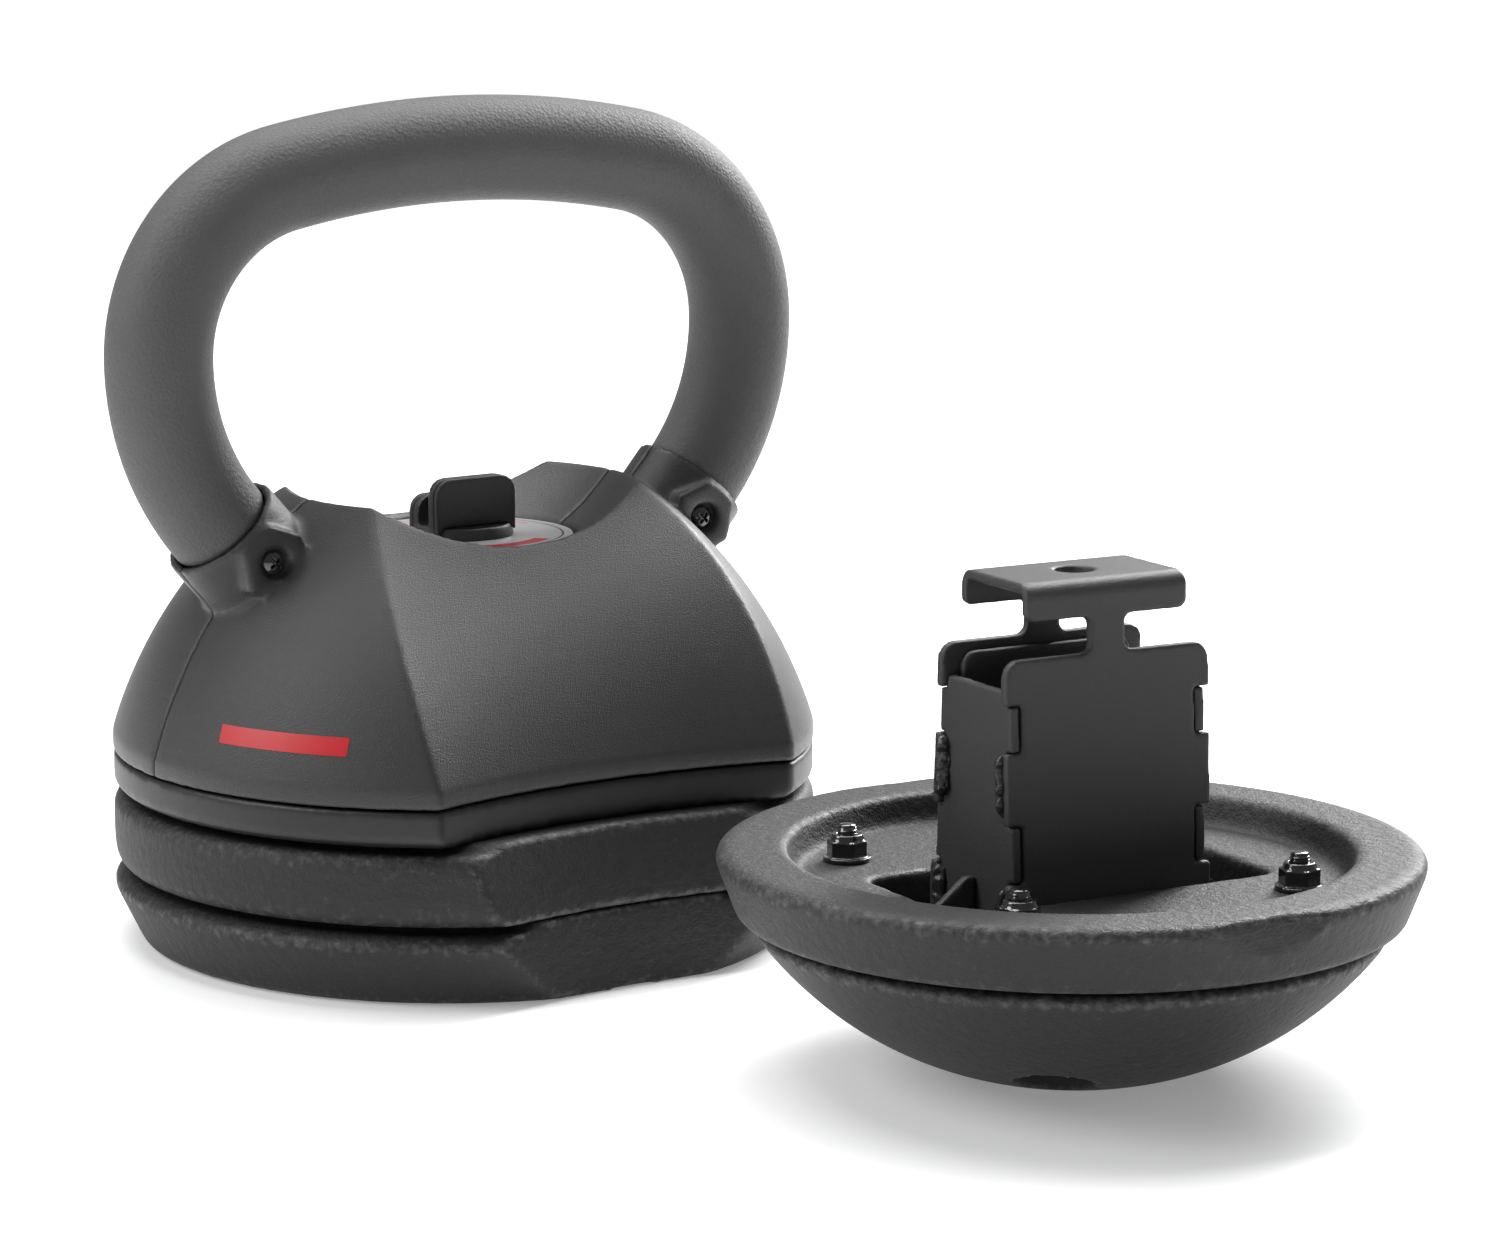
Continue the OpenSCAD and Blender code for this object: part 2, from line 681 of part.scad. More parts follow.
// One bent sheet: T-shaped bridge on top, front and rear faces hanging from it.
module column_frame() {
    bend_r = 4.5;
    outer_y = tee_half_y;
    color([0.17, 0.17, 0.18]) in_base() difference() {
        union() {
            translate([tee_half, 0, 0]) rotate([90, 0, -90]) linear_extrude(2 * tee_half) difference() {
                union() {
                    translate([-outer_y, bridge_z]) square([2 * outer_y, column_top - bridge_z - bend_r]);
                    translate([-outer_y + bend_r, bridge_z])
                        square([2 * (outer_y - bend_r), column_top - bridge_z]);
                    for (side = [-1, 1]) translate([side * (outer_y - bend_r), column_top - bend_r])
                        circle(r = bend_r, $fn = 48);
                }
                translate([-outer_y + sheet, bridge_z - 1])
                    square([2 * (outer_y - sheet), column_top - sheet - bridge_z + 1]);
            }
            for (rear = [false, true]) on_sheet(rear) linear_extrude(sheet) sheet_outline();
        }
        cylinder(d = pilot_hole_d, h = FAR, $fn = 48);
        translate([-FAR / 2, -FAR / 2, foot_z - 20]) cube([FAR, FAR, 20]);
    }
}

module column_liners() {
    liner_w = column_half_w - 5.5;
    liner_top = shoulder_z - 2.5;
    round_r = 4;
    color([0.21, 0.21, 0.22]) in_base() difference() {
        for (rear = [false, true]) on_sheet(rear) translate([0, 0, sheet + 0.05]) linear_extrude(2.5) {
            translate([-liner_w, foot_z - 5]) square([2 * liner_w, liner_top - round_r - foot_z + 5]);
            translate([-liner_w + round_r, foot_z]) square([2 * (liner_w - round_r), liner_top - foot_z]);
            for (side = [-1, 1]) translate([side * (liner_w - round_r), liner_top - round_r])
                circle(r = round_r, $fn = 32);
        }
        translate([-FAR / 2, -FAR / 2, foot_z - 20]) cube([FAR, FAR, 20]);
    }
}

// A side plate between the front and rear sheets; its tabs fill the notches in their edges.
module side_plate(side) {
    function inner_y(z) = tee_half_y - sheet - 0.05 + (bridge_z - z) * tan(splay);
    function outer_y(z) = tee_half_y - 0.3 + (bridge_z - z) * tan(splay);
    x0 = side > 0 ? side_x : -side_x - side_t;
    translate([x0, 0, 0]) rotate([90, 0, 90]) linear_extrude(side_t) {
        polygon([
            [-inner_y(foot_z), foot_z], [inner_y(foot_z), foot_z],
            [inner_y(side_top), side_top], [-inner_y(side_top), side_top]
        ]);
        for (n = notches) polygon([
            [-outer_y(n[1]), n[1] + 0.3], [outer_y(n[1]), n[1] + 0.3],
            [outer_y(n[0]), n[0] - 0.3], [-outer_y(n[0]), n[0] - 0.3]
        ]);
    }
}

module column_side_left() {
    color([0.18, 0.18, 0.19]) in_base() side_plate(-1);
}

module column_side_right() {
    color([0.18, 0.18, 0.19]) in_base() side_plate(1);
}

// A slanted rib on each side, from the side plate down to the foot plate.
module column_gussets() {
    root = side_x + side_t;
    reach = opening[0] / 2 - root - gusset_gap;
    color([0.25, 0.25, 0.26]) in_base() for (side = [-1, 1]) mirror([side < 0 ? 1 : 0, 0, 0])
        translate([root, 1.5, foot_z]) rotate([90, 0, 0]) linear_extrude(3)
            polygon([[0, 0], [reach, 0], [reach, 3], [3, 14], [0, 14]]);
}

// Short weld runs in the corners between the side plates and the edges of the sheets.
module weld_beads() {
    root = side_x + side_t;
    color([0.14, 0.14, 0.15]) in_base() difference() {
        for (side = [-1, 1], rear = [-1, 1], run = [[79, 91], [48, 54]])
            translate([side * root, rear * (tee_half_y - 4 + (bridge_z - run[0]) * tan(splay)), 0]) {
                translate([0, 0, run[0]]) cylinder(r = bead_r, h = run[1] - run[0], $fn = 24);
                for (z = run) translate([0, 0, z]) sphere(r = bead_r, $fn = 24);
            }
        translate([-root, -FAR / 2, 0]) cube([2 * root, FAR, FAR]);
        for (rear = [false, true]) on_sheet(rear) translate([0, 0, -5]) linear_extrude(sheet + 5.05)
            translate([-FAR / 2, 0]) square([FAR, shoulder_z]);
    }
}

module base_studs() {
    color([0.05, 0.05, 0.05]) in_base() at_studs() {
        translate([0, 0, stud_low]) cylinder(d = stud_d, h = stud_end_z - stud_low - tip_h);
        translate([0, 0, stud_end_z - tip_h - EPS]) cylinder(d1 = stud_d, d2 = stud_d - 1, h = tip_h);
    }
}

// Flanged lock nuts in the ring's pocket.
module base_nuts() {
    color([0.05, 0.05, 0.05]) in_base() at_studs() translate([0, 0, pocket_z]) difference() {
        union() {
            cylinder(d = 13.6, h = 1.4);
            translate([0, 0, 1.4 - EPS]) cylinder(r = 5.9, h = 4.6, $fn = 6);
            translate([0, 0, 6 - 2 * EPS]) cylinder(d1 = 9.8, d2 = 8.6, h = 1.8);
        }
        translate([0, 0, -1]) cylinder(d = stud_d, h = 12);
    }
}

handle_tube();
handle_grip();
shell_front();
shell_rear();
base_band();
collar_screws();
collar_nuts();
band_screws();
cross_frame();
selector_bush();
selector_knob();
knob_pads();
dial_plate();
selector_shaft();
thrust_washer();
selector_drum();
drum_nut();
upper_plate();
lower_plate();
ring_plate();
dome_plate();
column_foot();
column_frame();
column_liners();
column_side_left();
column_side_right();
column_gussets();
weld_beads();
base_studs();
base_nuts();
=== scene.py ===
# %% [markdown]
# # Adjustable kettlebell
# The imported model comes in first as a fixed frame: each solid is already in its place, in
# metres. Everything below adds finish to it, or a better-shaped piece that stands for a solid.

# %% load the frame
import math

import bmesh
import bpy
from mathutils import Matrix, Vector, noise
from mathutils.bvhtree import BVHTree


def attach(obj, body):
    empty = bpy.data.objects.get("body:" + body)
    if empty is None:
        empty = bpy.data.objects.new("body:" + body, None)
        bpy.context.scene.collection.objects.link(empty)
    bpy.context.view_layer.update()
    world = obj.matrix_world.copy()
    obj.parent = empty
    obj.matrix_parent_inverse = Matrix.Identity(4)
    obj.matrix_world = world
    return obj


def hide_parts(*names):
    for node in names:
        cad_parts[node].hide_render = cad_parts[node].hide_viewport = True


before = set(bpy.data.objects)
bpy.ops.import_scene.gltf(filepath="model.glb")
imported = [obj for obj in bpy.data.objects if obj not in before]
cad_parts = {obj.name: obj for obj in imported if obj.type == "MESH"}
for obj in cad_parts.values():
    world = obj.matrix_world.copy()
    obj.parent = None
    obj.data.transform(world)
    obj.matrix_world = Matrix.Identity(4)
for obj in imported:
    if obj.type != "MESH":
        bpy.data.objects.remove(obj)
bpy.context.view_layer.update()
MM = 0.001
Z = Vector((0, 0, 1))

# %% [markdown]
# ## Camera, floor and light
# A long lens well back keeps the round body from looking stretched. The floor and the world
# are nearly white, and large soft lamps give dark plastic its broad, faint highlights.

# %% camera
CAMERA_AT, CAMERA_AIM = (-0.7518, -1.2417, 0.3571), (0.560, 0.809, -0.178)
lens_data = bpy.data.cameras.new("camera")
lens_data.lens = 114.3
lens_data.sensor_width = 36
camera = bpy.data.objects.new("camera", lens_data)
camera.location = CAMERA_AT
camera.rotation_mode = "QUATERNION"
camera.rotation_quaternion = Vector(CAMERA_AIM).to_track_quat("-Z", "Y")
bpy.context.scene.collection.objects.link(camera)
bpy.context.scene.camera = camera

# %% floor and lamps
floor_bm = bmesh.new()
bmesh.ops.create_grid(floor_bm, x_segments=1, y_segments=1, size=20)
floor_mesh = bpy.data.meshes.new("floor")
floor_bm.to_mesh(floor_mesh)
floor_bm.free()
floor = bpy.data.objects.new("floor", floor_mesh)
floor.location = (0, 0, -0.0002)
bpy.context.scene.collection.objects.link(floor)

world = bpy.data.worlds.new("studio")
world.use_nodes = True
world.node_tree.nodes["Background"].inputs["Color"].default_value = (0.95, 0.96, 1, 1)
world.node_tree.nodes["Background"].inputs["Strength"].default_value = 0.28
bpy.context.scene.world = world
bpy.context.scene.view_settings.view_transform = "Standard"


def lamp(name, place, aim, size, watts):
    data = bpy.data.lights.new(name, "AREA")
    data.shape = "RECTANGLE"
    data.size, data.size_y = size
    data.energy = watts
    obj = bpy.data.objects.new(name, data)
    obj.location = place
    obj.rotation_mode = "QUATERNION"
    obj.rotation_quaternion = (Vector(aim) - Vector(place)).to_track_quat("-Z", "Y")
    bpy.context.scene.collection.objects.link(obj)


MIDDLE = (0.03, -0.12, 0.1)
lamp("left", (-1.15, 0.35, 1.0), MIDDLE, (0.6, 0.9), 12)
lamp("right", (1.15, 0.3, 0.85), MIDDLE, (0.45, 0.9), 33)
lamp("top", (0.1, 0.3, 1.5), MIDDLE, (1.3, 0.8), 27)

# %% [markdown]
# ## Shader maths
# A small class wraps a socket, so that maths on a pattern reads as ordinary Python.
# A second one holds a material and adds any other node by its type.

# %% socket maths
class Wire:
    def __init__(self, paint, socket):
        self.paint, self.socket = paint, socket

    def maths(self, operation, *values):
        return self.paint.add("ShaderNodeMath", {"operation": operation}, dict(enumerate(values)))

    def __add__(self, other):
        return self.maths("ADD", self, other)

    def __sub__(self, other):
        return self.maths("SUBTRACT", self, other)

    def __rsub__(self, other):
        return self.maths("SUBTRACT", other, self)

    def __mul__(self, other):
        return self.maths("MULTIPLY", self, other)

    def __gt__(self, other):
        return self.maths("GREATER_THAN", self, other)

    def __lt__(self, other):
        return self.maths("LESS_THAN", self, other)

    __radd__, __rmul__ = __add__, __mul__


class Paint:
    def __init__(self, name, roughness, metallic=0.0):
        self.material = bpy.data.materials.new(name)
        self.material.use_nodes = True
        self.tree = self.material.node_tree
        self.shader = self.tree.nodes["Principled BSDF"]
        self.shader.inputs["Roughness"].default_value = roughness
        self.shader.inputs["Metallic"].default_value = metallic
        self.place = self.add("ShaderNodeTexCoord", {}, {}, "Object")

    def add(self, kind, settings, values, output=0):
        node = self.tree.nodes.new(kind)
        for key, value in settings.items():
            setattr(node, key, value)
        for key, value in values.items():
            self.feed(node.inputs[key], value)
        return Wire(self, node.outputs[output])

    def feed(self, socket, value):
        if isinstance(value, Wire):
            self.tree.links.new(value.socket, socket)
        else:
            socket.default_value = value

    def grain(self, scale, detail=3.0):
        return self.add("ShaderNodeTexNoise", {},
                        {"Vector": self.place, "Scale": scale, "Detail": detail})

    def cells(self, scale):
        return self.add("ShaderNodeTexVoronoi", {}, {"Vector": self.place, "Scale": scale})

    def ramp(self, value, low, high):
        """0 at low, 1 at high, smooth between."""
        return self.add("ShaderNodeMapRange", {"interpolation_type": "SMOOTHSTEP"},
                        {"Value": value, "From Min": low, "From Max": high})

    def blend(self, factor, a, b):
        return self.add("ShaderNodeMix", {"data_type": "RGBA"}, {0: factor, 6: a, 7: b}, 2)

    def bump(self, height, distance, strength=1.0):
        normal = self.add("ShaderNodeBump", {},
                          {"Height": height, "Distance": distance, "Strength": strength})
        self.feed(self.shader.inputs["Normal"], normal)

    def colour(self, value):
        self.feed(self.shader.inputs["Base Color"], value)

    def rough(self, value):
        self.feed(self.shader.inputs["Roughness"], value)


def grey(level, warm=0.0):
    return (level, level, level * (1 - warm), 1)


# %% [markdown]
# ## Finishes
# Each finish has a grain at its own scale: millimetre pores on the foam grip, a fine spark
# texture on moulded plastic, a lumpy cast skin on iron and a sandy powder coat on the column.

# %% floor finish
GLOW_FROM, GLOW_FULL = 0.45, 1.8  # metres from the middle


def floor_finish():
    paint = Paint("pale_floor", 0.35)
    cloudy = paint.grain(3)
    paint.colour(paint.blend(cloudy, grey(0.9), grey(0.94)))
    paint.shader.inputs["Specular IOR Level"].default_value = 0.25
    # painted light: the floor glows, dim near the kettlebell and bright further out, standing in for
    # studio light on the floor and its bounce under the base
    away = paint.add("ShaderNodeVectorMath", {"operation": "LENGTH"}, {0: paint.place}, "Value")
    painted_floor_light = paint.blend(paint.ramp(away, GLOW_FROM, GLOW_FULL), grey(0.24), grey(0.78))
    paint.feed(paint.shader.inputs["Emission Color"], painted_floor_light)
    paint.shader.inputs["Emission Strength"].default_value = 1
    return paint.material


floor_mesh.materials.append(floor_finish())


# %% grip: soft foam with a leather-like grain
def grip_finish():
    paint = Paint("foam_grip", 0.62)
    pores = paint.cells(900)
    fine = paint.grain(2600, 2)
    cloudy = paint.grain(35)
    paint.bump(pores * 0.7 + fine * 0.5, 0.00028, 0.75)
    paint.colour(paint.blend(cloudy, grey(0.058), grey(0.078)))
    paint.rough(0.56 + 0.16 * pores)
    return paint.material


# %% moulded plastic
def plastic_finish(name, level, grain_depth, roughness):
    paint = Paint(name, roughness)
    spark = paint.grain(2200, 3)
    handled = paint.grain(24)
    paint.bump(spark, grain_depth, 0.8)
    paint.colour(paint.blend(handled, grey(level), grey(level * 1.25)))
    paint.rough(roughness - 0.05 + 0.1 * handled)
    return paint.material


# %% cast iron, painted black, with a painted highlight of lighter grey along its edges
def iron_finish(name, lumps, level):
    paint = Paint(name, 0.5)
    cast = paint.grain(lumps, 4)
    fine = paint.grain(1500, 2)
    edge = paint.add("ShaderNodeNewGeometry", {}, {}, "Pointiness")
    # painted highlight: convex edges, found by pointiness, turn lighter grey to stand in for the light
    # they catch
    painted_edge_highlight = paint.ramp(edge + 0.1 * paint.grain(420), 0.56, 0.61)
    paint.bump(cast + 0.45 * fine, 0.0008, 0.7)
    skin = paint.blend(paint.grain(60), grey(level), grey(level * 1.35))
    paint.colour(paint.blend(painted_edge_highlight * 0.6, skin, grey(0.11)))
    paint.rough(0.54 + 0.14 * fine - 0.12 * painted_edge_highlight)
    return paint.material


# %% powder-coated sheet, metal and hardware
def coat_finish():
    paint = Paint("powder_coat", 0.5)
    sand = paint.grain(2400, 2)
    edge = paint.add("ShaderNodeNewGeometry", {}, {}, "Pointiness")
    paint.bump(sand, 0.00022, 0.7)
    paint.colour(paint.blend(paint.ramp(edge, 0.53, 0.6), grey(0.028), grey(0.05)))
    paint.rough(0.46 + 0.12 * sand)
    return paint.material


def gloss_black_finish():
    paint = Paint("gloss_black", 0.16)
    paint.shader.inputs["Coat Weight"].default_value = 0.8
    smear = paint.grain(500)
    paint.colour(paint.blend(smear, grey(0.008), grey(0.014)))
    paint.rough(0.1 + 0.12 * smear)
    return paint.material


def metal_finish(name, level, roughness, warm=0.0):
    paint = Paint(name, roughness, 1.0)
    streaks = paint.grain(700, 4)
    paint.colour(paint.blend(streaks, grey(level, warm), grey(level * 1.15, warm)))
    paint.rough(roughness - 0.06 + 0.14 * streaks)
    paint.bump(streaks, 0.00008, 0.4)
    return paint.material


def weld_finish():
    paint = Paint("weld", 0.32)
    lumps = paint.grain(900, 3)
    paint.bump(lumps, 0.0004, 0.6)
    paint.colour(paint.blend(lumps, grey(0.012), grey(0.026)))
    return paint.material


# %% dial: silver, with two red arcs and a thin dark ring of painted shade for the gap
WIDE_ARC = (24, 29, -2.2, -0.95)  # inner and outer radius, then the two end angles
THIN_ARC = (27, 28.2, 0.2, 2.6)
SHADED_GAP_RING = (30.6, 31.3)


def between(value, low, high):
    return (value > low) * (value < high)


def arc(radius, angle, inner, outer, start, end):
    return between(radius, inner * MM, outer * MM) * between(angle, start, end)


def dial_finish():
    paint = Paint("dial_face", 0.34, 0.55)
    parts = {axis: paint.add("ShaderNodeSeparateXYZ", {}, {0: paint.place}, axis) for axis in "XY"}
    squares = parts["X"] * parts["X"] + parts["Y"] * parts["Y"]
    radius = squares.maths("SQRT", squares)
    angle = parts["Y"].maths("ARCTAN2", parts["Y"], parts["X"])
    # painted shade: a thin dark ring where the gap would fall in shadow
    gap_shade = between(radius, SHADED_GAP_RING[0] * MM, SHADED_GAP_RING[1] * MM)
    silver = paint.blend(paint.grain(300), grey(0.42), grey(0.5))
    face = paint.blend(arc(radius, angle, *WIDE_ARC), silver, (0.5, 0.01, 0.02, 1))
    face = paint.blend(arc(radius, angle, *THIN_ARC), face, (0.55, 0.08, 0.1, 1))
    paint.colour(paint.blend(gap_shade, face, grey(0.03)))
    return paint.material


def red_finish():
    paint = Paint("red_print", 0.4)
    paint.colour(paint.blend(paint.grain(900), (0.4, 0.003, 0.006, 1), (0.46, 0.004, 0.009, 1)))
    return paint.material


GRIP, RED, DIAL = grip_finish(), red_finish(), dial_finish()
SHELL = plastic_finish("shell_plastic", 0.02, 0.00026, 0.43)
BAND = plastic_finish("band_plastic", 0.006, 0.00005, 0.46)
KNOB = plastic_finish("knob_plastic", 0.02, 0.00012, 0.46)
RING, BASE = iron_finish("ring_iron", 330, 0.007), iron_finish("base_iron", 380, 0.009)
COAT, BLACK, WELD = coat_finish(), gloss_black_finish(), weld_finish()
STEEL, BRONZE = metal_finish("turned_steel", 0.5, 0.32), metal_finish("bronze", 0.42, 0.36, 0.45)
print("finishes:", len(bpy.data.materials))

# %% [markdown]
# ## Softened solids
# Real moulded and cast edges are rounded, and a solid's are knife-sharp. A copy of the solid is
# merged, rebuilt on an even grid of small cells (their size is in millimetres) and smoothed a
# little. Chosen over a bevel because it rounds every edge alike, even where a collar grows out
# of a dome.

# %% helpers for finished pieces
def finished(name, mesh, paint, body, slot, *nodes):
    mesh.materials.clear()
    mesh.materials.append(paint)
    for face in mesh.polygons:
        face.use_smooth = True
    piece = bpy.data.objects.new(name, mesh)
    bpy.context.scene.collection.objects.link(piece)
    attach(piece, body)
    if nodes:
        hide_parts(*nodes)
    return piece


def merged_copy(node):
    bm = bmesh.new()
    bm.from_mesh(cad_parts[node].data)
    bmesh.ops.remove_doubles(bm, verts=bm.verts, dist=1e-6)
    mesh = bpy.data.meshes.new(node + "_copy")
    bm.to_mesh(mesh)
    bm.free()
    return mesh


def rounded_mesh(node, cell, rounds):
    scratch = bpy.data.objects.new(node + "_scratch", merged_copy(node))
    bpy.context.scene.collection.objects.link(scratch)
    cells = scratch.modifiers.new("cells", "REMESH")
    cells.mode = "VOXEL"
    cells.voxel_size = cell * MM
    graph = bpy.context.evaluated_depsgraph_get()
    mesh = bpy.data.meshes.new_from_object(scratch.evaluated_get(graph))
    bpy.data.objects.remove(scratch)
    bm = bmesh.new()
    bm.from_mesh(mesh)
    for _ in range(rounds):
        bmesh.ops.smooth_vert(bm, verts=bm.verts, factor=0.5,
                              use_axis_x=True, use_axis_y=True, use_axis_z=True)
    bm.to_mesh(mesh)
    bm.free()
    return mesh


def soften(node, cell, rounds, paint, body, slot):
    mesh = rounded_mesh(node, cell, rounds)
    print(node, "faces:", len(mesh.polygons))
    finished(node + "_soft", mesh, paint, body, slot, node)


# %% softened pieces: node, cell size, smoothing rounds, finish, body, slot
SOFT = [
    ("shell_front", 1.0, 4, SHELL, "handle_unit", "shell_plastic"),
    ("shell_rear", 1.0, 4, SHELL, "handle_unit", "shell_plastic"),
    ("base_band", 1.2, 3, BAND, "handle_unit", "band_plastic"),
    ("upper_plate", 1.3, 3, RING, "upper_weight", "ring_iron"),
    ("lower_plate", 1.3, 3, RING, "lower_weight", "ring_iron"),
    ("ring_plate", 1.2, 3, BASE, "base_unit", "base_iron"),
    ("dome_plate", 1.2, 3, BASE, "base_unit", "base_iron"),
    ("selector_knob", 0.5, 3, KNOB, "selector", "knob_plastic"),
    ("knob_pads", 0.5, 4, KNOB, "selector", "pad_rubber"),
]
COLUMN = ("column_frame", "column_liners", "column_side_left", "column_side_right", "column_gussets")
SOFT += [(part, 0.7, 2, COAT, "base_unit", "column_paint") for part in COLUMN]
SOFT += [
    ("collar_screws", 0.18, 1, BLACK, "handle_unit", "black_fastener"),
    ("base_nuts", 0.3, 2, BLACK, "base_unit", "black_fastener"),
]
for row in SOFT:
    soften(*row)

# %% [markdown]
# ## Weld beads
# A weld run is a row of frozen puddles. The plain round runs are rebuilt finely, then each
# point moves in or out by a smooth random amount, always the same from run to run.

# %% welds
WELD_SWELL, WELD_LUMP, WELD_SCALE = 0.4, 1.2, 420


def weld_mesh():
    mesh = rounded_mesh("weld_beads", 0.4, 1)
    for vertex in mesh.vertices:
        lump = WELD_SWELL + noise.noise(vertex.co * WELD_SCALE) * WELD_LUMP
        vertex.co += vertex.normal * lump * MM
    return mesh


finished("weld_runs", weld_mesh(), WELD, "base_unit", "weld", "weld_beads")

# %% [markdown]
# ## Padded grip
# One circle is spun round each bend in turn, so the sleeve has no joins. Half is made and
# mirrored. Its ends draw in slightly, which leaves the dark groove where it meets the collar.

# %% grip
HALF_W, WIDE_Z, TOP, GRIP_R = 103.5, 184, 258, 16
END_IN, END_DRAW = 4.5, 0.9  # how far each end goes into its collar, and draws in
CORNER_R, LEG_R, LEAN = 53, 77, 41
corner_x, leg_x = HALF_W - CORNER_R, HALF_W - LEG_R
arch_top = TOP - GRIP_R
rise = arch_top - WIDE_Z
arch_r = (corner_x**2 + rise**2 - CORNER_R**2) / (2 * (rise - CORNER_R))
arch_a = math.degrees(math.atan(corner_x / (arch_r - rise)))


def spun(bm, ends, centre, degrees, steps):
    turned = bmesh.ops.spin(bm, geom=ends, cent=Vector(centre) * MM, axis=(0, -1, 0),
                            angle=math.radians(degrees), steps=steps, use_duplicate=False)
    return turned["geom_last"]


def grip_mesh():
    bm = bmesh.new()
    lean = math.radians(LEAN)
    rim = Vector((leg_x + LEG_R * math.cos(lean), 0, WIDE_Z - LEG_R * math.sin(lean)))
    inward = Vector((-math.sin(lean), 0, -math.cos(lean)))
    turn = (-inward).to_track_quat("Z", "Y").to_matrix().to_4x4()
    place = Matrix.Translation((rim + inward * END_IN) * MM) @ turn
    bmesh.ops.create_circle(bm, segments=64, radius=(GRIP_R - END_DRAW) * MM, matrix=place)
    edges = bm.edges[:]
    for ahead in (3.1, 1.4):
        grown = bmesh.ops.extrude_edge_only(bm, edges=edges)["geom"]
        ring = [g for g in grown if isinstance(g, bmesh.types.BMVert)]
        edges = [g for g in grown if isinstance(g, bmesh.types.BMEdge)]
        edges = [e for e in edges if all(v in ring for v in e.verts)]
        bmesh.ops.translate(bm, verts=ring, vec=-inward * ahead * MM)
    middle = sum((v.co for v in ring), Vector()) / len(ring)
    grow = GRIP_R / (GRIP_R - END_DRAW)
    bmesh.ops.scale(bm, verts=ring, vec=(grow,) * 3, space=Matrix.Translation(-middle))
    ends = ring + edges
    ends = spun(bm, ends, (leg_x, 0, WIDE_Z), LEAN, 26)
    ends = spun(bm, ends, (corner_x, 0, WIDE_Z), 90 - arch_a, 34)
    spun(bm, ends, (0, 0, arch_top - arch_r), arch_a, 16)
    bmesh.ops.mirror(bm, geom=bm.verts[:] + bm.edges[:] + bm.faces[:], axis="X", merge_dist=1e-5)
    bmesh.ops.remove_doubles(bm, verts=bm.verts, dist=1e-5)
    bmesh.ops.holes_fill(bm, edges=bm.edges, sides=0)
    bmesh.ops.recalc_face_normals(bm, faces=bm.faces)
    mesh = bpy.data.meshes.new("grip")
    bm.to_mesh(mesh)
    bm.free()
    return mesh


grip = finished("grip_sleeve", grip_mesh(), GRIP, "handle_unit", "grip_cover", "handle_grip")
print("grip box:", [round(c, 4) for c in grip.bound_box[0]], [round(c, 4) for c in grip.bound_box[6]])

# %% [markdown]
# ## Bar on the shell
# A plain printed bar, with no lettering. A small grid is laid against the dome by casting each
# of its points inwards on to the shell, then it is lifted by a tenth of a millimetre.

# %% printed bar
BAR_AT, BAR_Z, BAR_HALF_L, BAR_HALF_H = math.radians(-152.3), 77, 22, 2.6
BAR_START, BAR_LIFT = 150, 0.1  # where its rays begin, and its height over the shell


def bar_mesh():
    shell = bpy.data.objects["shell_front_soft"]
    faces = [f.vertices for f in shell.data.polygons]
    tree = BVHTree.FromPolygons([v.co for v in shell.data.vertices], faces)
    out = Vector((math.cos(BAR_AT), math.sin(BAR_AT), 0))
    across = Z.cross(out)
    bm = bmesh.new()
    bmesh.ops.create_grid(bm, x_segments=60, y_segments=10, size=1)
    for vertex in bm.verts:
        height = BAR_Z + vertex.co.y * BAR_HALF_H
        start = out * BAR_START + across * vertex.co.x * BAR_HALF_L + Z * height
        place, normal, _, _ = tree.ray_cast(start * MM, -out)
        vertex.co = place + normal * BAR_LIFT * MM
    bmesh.ops.recalc_face_normals(bm, faces=bm.faces)
    mesh = bpy.data.meshes.new("bar")
    bm.to_mesh(mesh)
    bm.free()
    return mesh


finished("printed_bar", bar_mesh(), RED, "handle_unit", "shell_plastic")

# %% [markdown]
# ## Studs with threads
# The thread stubs stand above the nuts in plain sight. A small triangle is spun about the stud
# while it climbs, one pitch a turn, which is how a screw-cutting lathe makes the real ridge.

# %% studs
BASE_AT = Matrix.Translation(Vector((54.5, -233, 0)) * MM) @ Matrix.Rotation(math.radians(-5.5), 4, "Z")
STUD_CIRCLE, STUD_LOW, STUD_END, PITCH = 64, 24, 64, 1.0
STUD_R, CORE_R, ROOT_R, TIP_R = 3, 2.6, 2.55, 2.2
THREAD_LOW, THREAD_TURNS, TURN_STEPS = 58.4, 4, 24


def round_bar(bm, low, high, radius_low, radius_high):
    place = Matrix.Translation((0, 0, (low + high) / 2 * MM))
    bmesh.ops.create_cone(bm, cap_ends=True, segments=32, radius1=radius_low * MM,
                          radius2=radius_high * MM, depth=(high - low) * MM, matrix=place)


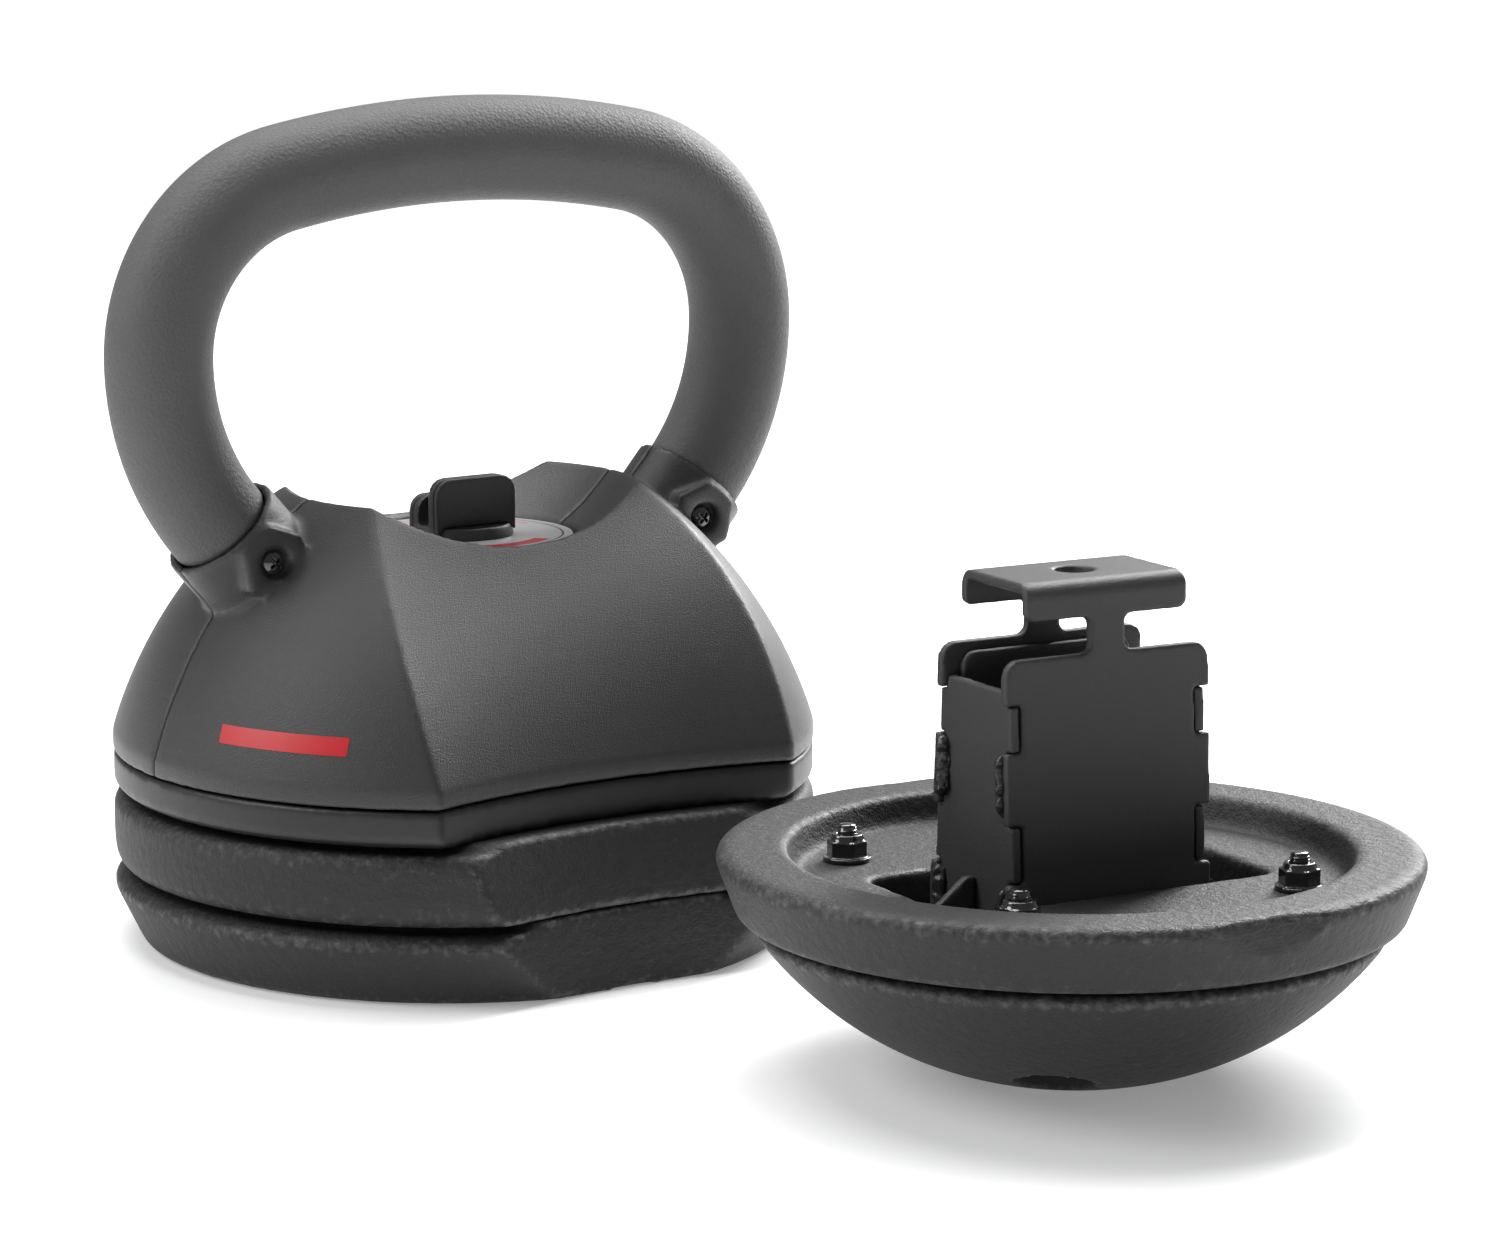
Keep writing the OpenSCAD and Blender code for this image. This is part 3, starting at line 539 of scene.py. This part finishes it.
def thread(bm, low, turns):
    section = ((ROOT_R, 0), (STUD_R, PITCH / 2), (ROOT_R, PITCH))
    verts = [bm.verts.new(Vector((r, 0, low + z * 0.94)) * MM) for r, z in section]
    edges = [bm.edges.new((verts[i], verts[i - 1])) for i in range(3)]
    climb = Vector((0, 0, PITCH / TURN_STEPS)) * MM
    bmesh.ops.spin(bm, geom=verts + edges, cent=(0, 0, 0), axis=Z, angle=math.tau * turns,
                   steps=TURN_STEPS * turns, dvec=climb, use_duplicate=False)


def stud_mesh():
    bm = bmesh.new()
    round_bar(bm, STUD_LOW, THREAD_LOW + 0.6, STUD_R, STUD_R)
    round_bar(bm, THREAD_LOW - 0.4, STUD_END - 0.5, CORE_R, CORE_R)
    round_bar(bm, STUD_END - 0.6, STUD_END, CORE_R, TIP_R)
    thread(bm, THREAD_LOW, THREAD_TURNS)
    bmesh.ops.holes_fill(bm, edges=bm.edges, sides=0)
    bmesh.ops.recalc_face_normals(bm, faces=bm.faces)
    one = bm.faces[:] + bm.edges[:] + bm.verts[:]
    for i in range(1, 4):
        twin = bmesh.ops.duplicate(bm, geom=one)["geom"]
        verts = [g for g in twin if isinstance(g, bmesh.types.BMVert)]
        place_stud(bm, verts, i)
    place_stud(bm, [g for g in one if isinstance(g, bmesh.types.BMVert)], 0)
    mesh = bpy.data.meshes.new("studs")
    bm.to_mesh(mesh)
    bm.free()
    return mesh


def place_stud(bm, verts, number):
    turn = Matrix.Rotation(math.radians(45 + 90 * number), 4, "Z")
    outward = Matrix.Translation((STUD_CIRCLE * MM, 0, 0))
    bmesh.ops.transform(bm, matrix=BASE_AT @ turn @ outward, verts=verts)


studs = finished("threaded_studs", stud_mesh(), BLACK, "base_unit", "black_fastener", "base_studs")
print("studs:", len(studs.data.polygons), "faces")

# %% [markdown]
# ## Solids that keep their shape
# Turned and hidden metal parts are already right, so they only get their finish.

# %% finishes on the solids
KEPT = {
    "handle_tube": COAT, "collar_nuts": BLACK, "band_screws": BLACK, "cross_frame": STEEL,
    "selector_bush": BRONZE, "dial_plate": DIAL, "selector_shaft": STEEL, "thrust_washer": STEEL,
    "selector_drum": STEEL, "drum_nut": STEEL, "column_foot": COAT,
}
for node, paint in KEPT.items():
    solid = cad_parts[node]
    solid.data.materials.clear()
    solid.data.materials.append(paint)
print("kept solids:", len(KEPT))
